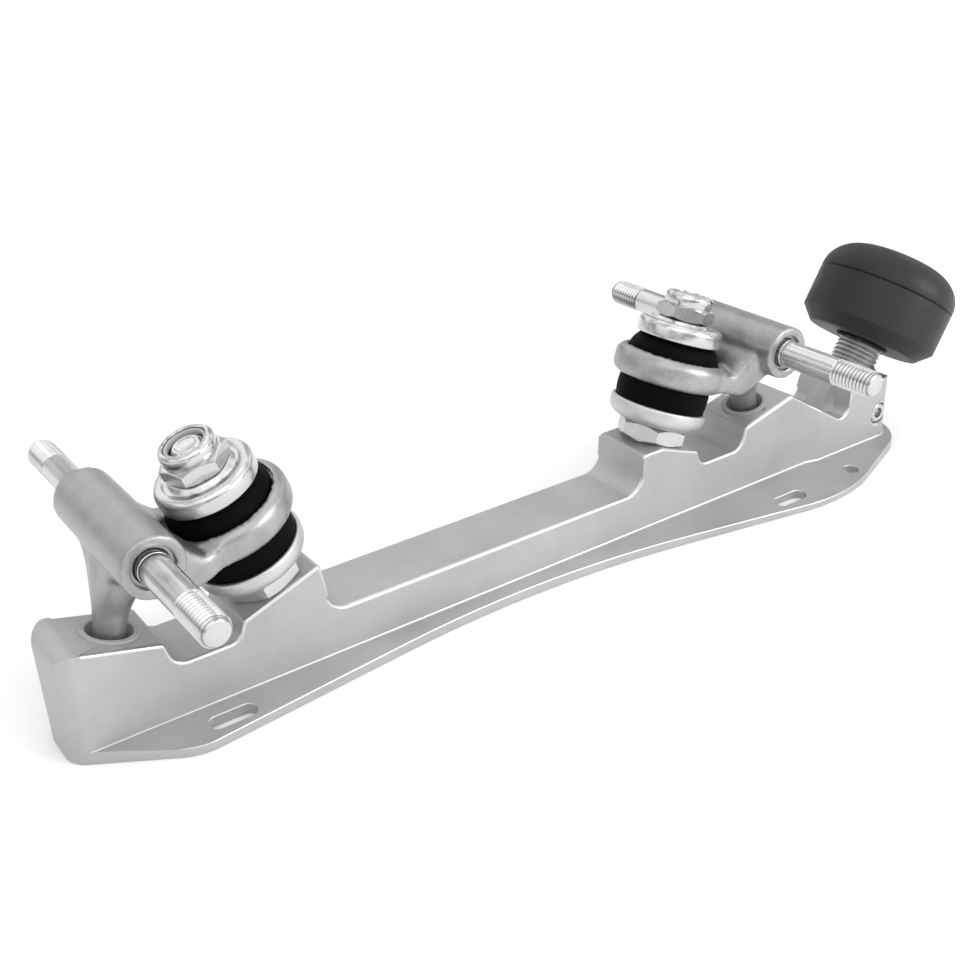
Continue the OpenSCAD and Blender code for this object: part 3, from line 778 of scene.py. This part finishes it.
class SKATE_OT_plate(SkateOperator):
    """Builds the machined plate with its bright chamfers, whose brightness is partly painted highlight"""

    bl_idname = "skate.plate"
    bl_label = "Plate"

    def build(self, sizes):
        plate = merged_copy("plate", "machined_plate")
        bm = bmesh.new()
        bm.from_mesh(plate.data)
        layers = bm.edges.layers.float
        weights = layers.get("bevel_weight_edge") or layers.new("bevel_weight_edge")
        rail = [vertex.co.x for vertex in bm.verts if vertex.co.z > 2.5 * FLANGE_TOP]
        for edge in bm.edges:
            edge[weights] = edge_weight(edge, sizes)
        stop_chamfer(bm, weights, (min(rail) + CORNER_ROOM, max(rail) - CORNER_ROOM))
        bm.to_mesh(plate.data)
        bm.free()
        finish_with(plate, "plate", "edge")
        # The bevels take the lighter edge finish: partly machined shine, partly painted highlight
        add_modifier(plate, "BEVEL", limit_method="WEIGHT", width=sizes.chamfer, segments=2, material=1,
                     use_clamp_overlap=False, loop_slide=False)
        add_modifier(plate, "WELD", merge_threshold=0.09 * MM)
        applied(plate)
        broad_shading(plate.data, sharp=50.0)
        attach(plate, "root")
        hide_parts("plate")


# The trucks


class SKATE_OT_hangers(EndOperator):
    """Builds the hanger castings with soft blends and machined seats"""

    bl_idname = "skate.hangers"
    bl_label = "Hangers"

    # Where the further rounding reaches, on the web between ring and barrel and along the pivot arm
    web_along = (9 * MM, 20 * MM)
    web_beside = 6 * MM
    web_past = 5 * MM
    arm_along = (5 * MM, 21 * MM)
    blend_rounds = 45

    # The recess round the axle at each end of the barrel
    clearance = 0.05 * MM
    recess_width = 1.2 * MM
    recess_depth = 1.5 * MM

    def build_end(self, end, sizes):
        node = f"{end}_hanger"
        casting = merged_copy(node, f"{end}_casting")
        add_modifier(casting, "REMESH", mode="VOXEL", voxel_size=sizes.casting_voxel)
        add_modifier(casting, "SMOOTH", factor=0.5, iterations=sizes.casting_rounds)
        applied(casting)
        pin = kingpin_place(end)
        ring = pin.span(f"{end}_lower_cushion")[1], pin.span(f"{end}_upper_cushion")[0]
        self.blend(casting, end, pin, ring)
        self.machine(casting, end, pin, ring)
        finish_with(casting, "casting")
        smooth_shading(casting.data, sharp=40.0)
        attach(casting, f"{end}_truck")
        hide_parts(node)

    def blend(self, casting, end, pin, ring):
        """Rounds the corners between the ring and its web, and the length of the pivot arm, further."""
        arm = arm_place(end)
        side = 1 if end == "front" else -1
        picked = []
        for vertex in casting.data.vertices:
            at = pin.inverse @ vertex.co
            on_web = self.web_along[0] < side * at.x < self.web_along[1] and abs(at.y) > self.web_beside
            on_web = on_web and ring[0] - self.web_past < at.z < ring[1] + self.web_past
            on_arm = self.arm_along[0] < (arm.inverse @ vertex.co).z < self.arm_along[1]
            if on_web or on_arm:
                picked.append(vertex.index)
        casting.vertex_groups.new(name="blend").add(picked, 1.0, "REPLACE")
        add_modifier(casting, "SMOOTH", factor=0.5, iterations=self.blend_rounds, vertex_group="blend")
        applied(casting)

    def machine(self, casting, end, pin, ring):
        """Cuts the barrel's recesses and the ring's seats again, with crisp edges."""
        axle = axle_place(end)
        low, high = axle.span(f"{end}_hanger")
        mouth = axle.reach(f"{end}_axle") + self.clearance + self.recess_width
        for height, way in ((low, -1), (high, 1)):
            inner, outer = height - way * self.recess_depth, height + way * MM
            profile = [
                (0, inner), (mouth - 0.2 * MM, inner), (mouth, height - way * 0.3 * MM),
                (mouth + 0.5 * MM, height + way * 0.05 * MM), (mouth + 0.5 * MM, outer), (0, outer),
            ]
            cut(casting, lathe("recess_cutter", axle, profile))
        for level, way in zip(ring, (-1, 1)):
            inner, outer = level - way * BORE_DEPTH, level + way * SEAT_DEPTH
            profile = [
                (0, inner), (RING_BORE, inner), (RING_BORE, level),
                (RING_SEAT, level), (RING_SEAT, outer), (0, outer),
            ]
            cut(casting, lathe("seat_cutter", pin, profile, segments=128))


class SKATE_OT_axles(EndOperator):
    """Builds the axles with their rolled threads"""

    bl_idname = "skate.axles"
    bl_label = "Axles"

    def build_end(self, end, sizes):
        node = f"{end}_axle"
        place = axle_place(end)
        _, high, seat_radius = place.size(node)
        radius = place.reach(node, high - 3 * MM)
        seat_half = max(abs(height) for height in place.heights(node, seat_radius - TOUCH))
        pitch = sizes.fine_pitch
        thread_length = 13 * MM
        thread_low = high - thread_length
        root = radius - pitch / 2
        chamfer = 0.9 * MM
        half = [
            (0, high), (radius - 1.3 * chamfer, high), (root + 0.1 * MM, high - chamfer * 0.6),
            (root, high - chamfer), (root, thread_low), (radius, thread_low - 0.5 * MM),
            (radius, seat_half), (seat_radius, seat_half - 0.1 * MM),
        ]
        profile = soften([(r, -z) for r, z in half] + half[::-1], 0.15 * MM, 2)
        core = lathe(f"{end}_axle_core", place, profile, "axle", 64)
        far = Place(place.origin, -place.axis, side=(0, 0, 1))
        ridges = [
            thread(f"{end}_thread", side, radius, thread_low, high - 0.5 * MM, pitch, "axle")
            for side in (place, far)
        ]
        axle = joined(f"{end}_threaded_axle", [core, *ridges])
        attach(axle, f"{end}_truck")
        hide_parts(node)


class SKATE_OT_pivot_cups(EndOperator):
    """Builds the plastic cups that the pivot arms turn in"""

    bl_idname = "skate.pivot_cups"
    bl_label = "Pivot cups"

    def build_end(self, end, sizes):
        node = f"{end}_pivot_cup"
        place = arm_place(end)
        low, high, outer = place.size(node)
        mouth = min(math.hypot(p.x, p.y) for p in place.points(node) if p.z > high - 0.02 * MM)
        profile = soften([
            (0, low), (outer, low), (outer, high), (mouth, high),
            (BALL_RADIUS, 0), (BALL_RADIUS * 0.8, -BALL_RADIUS * 0.7), (0, -BALL_RADIUS),
        ], 0.3 * MM)
        cup = lathe(f"{end}_pivot_bush", place, profile, "pivot", 72)
        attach(cup, "root")
        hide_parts(node)


# The kingpins and what they carry


class SKATE_OT_kingpins(EndOperator):
    """Builds the kingpins with their threads"""

    bl_idname = "skate.kingpins"
    bl_label = "Kingpins"

    def build_end(self, end, sizes):
        node = f"{end}_kingpin"
        place = kingpin_place(end)
        low, high, base = place.size(node)
        shank = place.reach(node, high - 5 * MM)
        shoulder = max(place.heights(node, base - TOUCH))
        pitch = sizes.fine_pitch
        root = shank - pitch / 2
        thread_low = place.span(f"{end}_lock_nut")[0]
        profile = soften([
            (0, low), (base - 0.8 * MM, low), (base, low + 0.8 * MM), (base, shoulder),
            (shank, shoulder + 0.1 * MM), (shank, thread_low), (root, thread_low + 0.4 * MM),
            (root, high - 0.7 * MM), (root - 0.7 * MM, high), (2.9 * MM, high),
            (2.5 * MM, high - 0.25 * MM), (0, high - 0.3 * MM),
        ], 0.2 * MM, 2)
        core = lathe(f"{end}_kingpin_core", place, profile, "nut", 64)
        ridge = thread(f"{end}_kingpin_thread", place, shank, thread_low, high - 0.5 * MM, pitch, "nut")
        pin = joined(f"{end}_king_bolt", [core, ridge])
        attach(pin, "root")
        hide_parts(node)


class SKATE_OT_nuts(EndOperator):
    """Builds the jam nuts and the lock nuts with their nylon rings"""

    bl_idname = "skate.nuts"
    bl_label = "Nuts"

    jam_turn = {"front": math.radians(-4), "rear": math.radians(10)}
    lock_turn = {"front": math.radians(22), "rear": math.radians(-14)}

    def build_end(self, end, sizes):
        place = kingpin_place(end)
        self.jam_nut(end, place)
        self.lock_nut(end, place)
        self.nylon_ring(end, place)

    def jam_nut(self, end, place):
        node = f"{end}_jam_nut"
        low, high = place.span(node)
        across = across_flats(place, node)
        nut = hexagon(f"{end}_base_nut", place, low, high, across, JAM_BORE, self.jam_turn[end], "satin")
        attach(nut, f"{end}_jam_nut")
        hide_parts(node)

    def lock_nut(self, end, place):
        node = f"{end}_lock_nut"
        low, high = place.span(node)
        across = across_flats(place, node)
        bore = NYLON_BORE
        collar = place.reach(node, high - 1.5 * MM) - 0.05 * MM
        near_corners = across * 0.53
        seat = max(place.heights(node, near_corners))
        body = hexagon(f"{end}_hexagon", place, low, seat, across, bore, self.lock_turn[end], "nut", 0.95)
        rim = 1.5 * MM
        profile = [
            (bore, seat - 0.5 * MM), (collar * 0.97, seat - 0.5 * MM), (collar * 0.965, seat + 0.25 * MM),
            (collar, seat + 0.7 * MM), *arc((collar - rim, high - rim), rim, 0, 90),
            (collar - rim - 0.2 * MM, high - 0.35 * MM), (bore + 0.95 * MM, high - 0.4 * MM),
            (bore + 0.85 * MM, seat + 1.2 * MM), (bore, seat + 1.1 * MM),
        ]
        crown = lathe(f"{end}_collar", place, profile, "nut", 72, closed=True, sharp=40)
        nut = joined(f"{end}_stop_nut", [body, crown])
        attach(nut, f"{end}_lock_nut")
        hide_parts(node)

    def nylon_ring(self, end, place):
        node = f"{end}_nut_insert"
        low, high, outer = place.size(node)
        profile = [(NYLON_BORE, low), (outer, low), (outer, high), (NYLON_BORE, high)]
        profile = soften(profile, 0.4 * MM, closed=True)
        ring = lathe(f"{end}_nylon_ring", place, profile, "nylon", 64, closed=True)
        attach(ring, f"{end}_lock_nut")
        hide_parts(node)


class SKATE_OT_cups(EndOperator):
    """Builds the pressed cups above and below the cushions"""

    bl_idname = "skate.cups"
    bl_label = "Cushion cups"

    def build_end(self, end, sizes):
        place = kingpin_place(end)
        self.lower_cup(end, place)
        self.upper_cup(end, place)

    def lower_cup(self, end, place):
        node = f"{end}_lower_cup"
        low, high, outer = place.size(node)
        foot = 9.8 * MM
        belly = 4.2 * MM
        rim = 0.75 * MM
        floor = low + 1.8 * MM
        profile = [
            (CUSHION_BORE, low), *arc((foot, low + belly), outer - foot, -90, 0, height=belly),
            *arc((outer - rim, high - rim), rim, 0, 180, 10), (outer - 1.6 * MM, high - 1.4 * MM),
            (12.5 * MM, low + 2.1 * MM), (12.2 * MM, floor), (CUSHION_BORE, floor),
        ]
        cup = lathe(f"{end}_lower_dish", place, profile, "satin", closed=True, sharp=60)
        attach(cup, "root")
        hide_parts(node)

    def upper_cup(self, end, place):
        node = f"{end}_upper_cup"
        low, high, outer = place.size(node)
        floor = low + 2.2 * MM
        rim = 1.9 * MM
        rim_top = high - 0.7 * MM
        profile = [
            (CUSHION_BORE, floor), (outer - 1.5 * MM, floor), (outer - 1.1 * MM, low + 0.1 * MM),
            (outer - 0.6 * MM, low), (outer - 0.1 * MM, low + 0.3 * MM), (outer, low + 0.8 * MM),
            *arc((outer - rim, rim_top - rim), rim, 0, 135, 12),
            (outer - 3.8 * MM, high - 1.3 * MM), (outer - 4.4 * MM, high - 1.1 * MM),
            (outer - 4.8 * MM, high - 0.15 * MM), (outer - 5.1 * MM, high), (CUSHION_BORE, high),
        ]
        cup = lathe(f"{end}_upper_dish", place, profile, "cup", closed=True, sharp=60)
        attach(cup, f"{end}_upper_cup")
        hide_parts(node)


class SKATE_OT_cushions(EndOperator):
    """Builds the urethane cushions, which bend as the trucks steer"""

    bl_idname = "skate.cushions"
    bl_label = "Cushions"

    def build_end(self, end, sizes):
        place = kingpin_place(end)
        self.lower(end, place)
        self.upper(end, place)

    def column(self, name, place, outline):
        """A turned cushion with enough rings up its side to bend."""
        side = []
        for (r0, z0), (r1, z1) in zip(outline, outline[1:]):
            side += [(r0 + (r1 - r0) * i / 4, z0 + (z1 - z0) * i / 4) for i in range(4)]
        side.append(outline[-1])
        low, high = outline[0][1], outline[-1][1]
        inner = [(CUSHION_BORE, high + (low - high) * i / 12) for i in range(13)]
        return lathe(name, place, side + inner, "cushion", closed=True, sharp=60)

    def barrel(self, low, high, foot, belly, head):
        """The side of a cushion as a smooth bulge between its two ends."""
        side = []
        for t in (i / 8 for i in range(9)):
            radius = foot * (1 - t) + head * t + 4 * (belly - (foot + head) / 2) * t * (1 - t)
            side.append((radius, low + (high - low) * t))
        return side

    def lower(self, end, place):
        node = f"{end}_lower_cushion"
        low, high, reach = place.size(node)
        outline = self.barrel(low, high, reach - 1.8 * MM, reach, reach - 0.5 * MM)
        piece = self.column(f"{end}_lower_bushing", place, outline)
        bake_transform(piece, "root", f"{end}_truck", start=place.at(low + 2 * MM), end=place.at(high - 1.5 * MM))
        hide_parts(node)

    def upper(self, end, place):
        node = f"{end}_upper_cushion"
        low, high, reach = place.size(node)
        top = place.reach(node, high - 0.5 * MM)
        outline = self.barrel(low, high - 2.4 * MM, reach, reach - 0.3 * MM, top) + [(top, high)]
        piece = self.column(f"{end}_upper_bushing", place, outline)
        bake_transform(piece, f"{end}_truck", "root", start=place.at(low + 1.5 * MM), end=place.at(high - 2 * MM))
        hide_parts(node)


# The toe stop


class SKATE_OT_toe_stop(SkateOperator):
    """Builds the toe stop's rubber, threaded stem and lock ring"""

    bl_idname = "skate.toe_stop"
    bl_label = "Toe stop"

    def build(self, sizes):
        place = joint_place("toe_stop_turn")
        self.rubber(place, sizes)
        self.stem(place, sizes)
        self.ring(place)

    def rubber(self, place, sizes):
        node = "toe_stop_rubber"
        low, high, outer = place.size(node)
        foot = place.reach(node, low, low + 0.3 * MM)
        groove_at = low + GROOVE_HEIGHT
        shoulder_low = groove_at + 0.9 * MM
        side = soften([
            (RUBBER_BORE, low), (foot, low), (outer, low + 4.5 * MM),
            (outer, groove_at - 0.35 * MM), (outer - sizes.groove, groove_at), (outer, groove_at + 0.35 * MM),
        ], 0.35 * MM)
        dome = arc((outer - SHOULDER_WIDTH, shoulder_low), SHOULDER_WIDTH, 0, 90, 16, high - shoulder_low)
        hollow = [(0, high), (0, low + STEM_DEPTH), (RUBBER_BORE, low + STEM_DEPTH)]
        rubber = lathe("stop_pad", place, side + dome + hollow, "rubber", 128, closed=True, sharp=32)
        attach(rubber, "toe_stop")
        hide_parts(node)

    def stem(self, place, sizes):
        node = "toe_stop_stem"
        low, head_top = place.span(node)
        head_top -= 0.1 * MM
        radius = place.reach(node, low, 0)
        pitch = sizes.stem_pitch
        root = radius - pitch / 2
        profile = soften([
            (0, low), (root - 1.2 * MM, low), (root, low + 1.2 * MM), (root, -1.2 * MM), (radius, -0.9 * MM),
            (radius, 7.9 * MM), (STEM_HEAD, 8.2 * MM), (STEM_HEAD, head_top), (0, head_top),
        ], 0.2 * MM, 2)
        core = lathe("stem_core", place, profile, "stem", 72)
        ridge = thread("stem_thread", place, radius, low + 0.8 * MM, -1.1 * MM, pitch, "stem", 48)
        stem = joined("threaded_stem", [core, ridge])
        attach(stem, "toe_stop")
        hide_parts(node)

    def ring(self, place):
        node = "toe_stop_washer"
        low, high, outer = place.size(node)
        profile = [(WASHER_BORE, low), (outer, low), (outer, high), (WASHER_BORE, high)]
        profile = soften(profile, 0.45 * MM, 4, closed=True)
        ring = lathe("lock_ring", place, profile, "black", 80, closed=True)
        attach(ring, "toe_stop_washer")
        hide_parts(node)


class SKATE_OT_pinch_screw(SkateOperator):
    """Builds the socket screw that pinches the toe block"""

    bl_idname = "skate.pinch_screw"
    bl_label = "Pinch screw"

    def build(self, sizes):
        node = "pinch_screw"
        place = joint_place("pinch_screw_turn", side=(0, 0, 1))
        low, high, head = place.size(node)
        shank = place.reach(node, high - 2 * MM)
        head_top = low + 3.7 * MM
        socket = head * 0.5
        profile = soften([
            (socket, low), (head - 0.5 * MM, low), (head, low + 0.5 * MM), (head, head_top),
            (shank, head_top), (shank, high - 0.5 * MM), (shank - 0.5 * MM, high), (0, high),
            (0, low + 2.6 * MM), (socket, low + 2.4 * MM),
        ], 0.15 * MM, 2, closed=True)
        screw = lathe("pinch_bolt", place, profile, "axle", 48, closed=True)
        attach(screw, "pinch_screw")
        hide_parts(node)


# The stage


CAMERA_AT = Vector((-179.7, -270.2, 197.2)) * MM
CAMERA_AZIMUTH = 34.46
CAMERA_ELEVATION = 27.21
CAMERA_ROLL = -2.24
CAMERA_LENS = 47.13
FLOOR_HALF = 6.0
FLOOR_DROP = 0.3 * MM


class SKATE_OT_stage(SkateOperator):
    """Sets the camera, the lights and the floor"""

    bl_idname = "skate.stage"
    bl_label = "Stage"

    def build(self, sizes):
        scene = bpy.context.scene
        scene.view_settings.view_transform = "Standard"
        scene.view_settings.look = "None"
        self.camera(scene)
        self.floor()
        self.world(scene)
        self.softbox("key_light", (-0.35, -0.55, 0.95), (0.02, 0, 0.03), 0.9, 1.6)
        self.softbox("top_light", (0.35, 0.25, 1.1), (0.02, 0, 0.02), 0.8, 1.0)
        self.softbox("front_light", (0.6, -0.9, 0.45), (0.08, 0, 0.02), 0.6, 6.5)

    def camera(self, scene):
        data = bpy.data.cameras.new("view")
        data.lens = CAMERA_LENS
        data.sensor_width = 36.0
        data.clip_start = 0.01
        camera = linked("view", data)
        turn = Matrix.Rotation(math.radians(-CAMERA_AZIMUTH), 4, "Z")
        tilt = Matrix.Rotation(math.radians(90 - CAMERA_ELEVATION), 4, "X")
        roll = Matrix.Rotation(math.radians(CAMERA_ROLL), 4, "Z")
        camera.matrix_world = Matrix.Translation(CAMERA_AT) @ turn @ tilt @ roll
        scene.camera = camera

    def floor(self):
        bm = bmesh.new()
        signs = ((-1, -1), (1, -1), (1, 1), (-1, 1))
        bm.faces.new([bm.verts.new((x * FLOOR_HALF, y * FLOOR_HALF, -FLOOR_DROP)) for x, y in signs])
        floor = finish_with(linked("floor", mesh_from("floor", bm)), "floor")

    def world(self, scene):
        """A sky that brightens upwards, with soft pale and dark patches for the metal to show."""
        world = bpy.data.worlds.new("studio")
        world.use_nodes = True
        tree = world.node_tree
        direction = add_node(tree, "ShaderNodeTexCoord").outputs["Generated"]
        height = Value(tree, add_node(tree, "ShaderNodeSeparateXYZ", None, {0: direction}).outputs["Z"])
        patches = Value(tree, add_node(tree, "ShaderNodeTexNoise", {"noise_dimensions": "3D"}, {
            "Vector": direction, "Scale": 2.6, "Detail": 1.0,
        }).outputs[0])
        level = height.between(0.0, 0.35, 0.45, 1.2) * patches.between(0.40, 0.54, 0.45, 1.25)
        feed(tree, tree.nodes["Background"], {"Strength": level, "Color": (1.0, 1.0, 1.0, 1.0)})
        scene.world = world

    def softbox(self, name, at, aim, size, power):
        data = bpy.data.lights.new(name, "AREA")
        data.shape = "SQUARE"
        data.size = size
        data.energy = power
        light = linked(name, data)
        light.location = at
        light.rotation_euler = (Vector(aim) - Vector(at)).to_track_quat("-Z", "Y").to_euler()


class SKATE_PT_panel(bpy.types.Panel):
    """Lists the plate's pieces"""

    bl_label = "Skate plate"
    bl_idname = "SKATE_PT_panel"
    bl_space_type = "VIEW_3D"
    bl_region_type = "UI"
    bl_category = "Skate plate"

    def draw(self, context):
        column = self.layout.column()
        for operator in OPERATORS:
            column.operator(operator.bl_idname)
        for group in (context.scene.skate_sizes, context.scene.skate_colors):
            for key in group.__annotations__:
                column.prop(group, key)


OPERATORS = (
    SKATE_OT_plate, SKATE_OT_hangers, SKATE_OT_axles, SKATE_OT_pivot_cups, SKATE_OT_kingpins, SKATE_OT_nuts,
    SKATE_OT_cups, SKATE_OT_cushions, SKATE_OT_toe_stop, SKATE_OT_pinch_screw, SKATE_OT_stage,
)
CLASSES = (SkateSizes, SkateColors, *OPERATORS, SKATE_PT_panel)


def register():
    for entry in CLASSES:
        bpy.utils.register_class(entry)
    bpy.types.Scene.skate_sizes = PointerProperty(type=SkateSizes)
    bpy.types.Scene.skate_colors = PointerProperty(type=SkateColors)


def unregister():
    del bpy.types.Scene.skate_colors
    del bpy.types.Scene.skate_sizes
    for entry in reversed(CLASSES):
        bpy.utils.unregister_class(entry)


def main():
    register()
    bpy.ops.skate.plate()
    bpy.ops.skate.hangers()
    bpy.ops.skate.axles()
    bpy.ops.skate.pivot_cups()
    bpy.ops.skate.kingpins()
    bpy.ops.skate.nuts()
    bpy.ops.skate.cups()
    bpy.ops.skate.cushions()
    bpy.ops.skate.toe_stop()
    bpy.ops.skate.pinch_screw()
    bpy.ops.skate.stage()


if __name__ == "__main__":
    main()
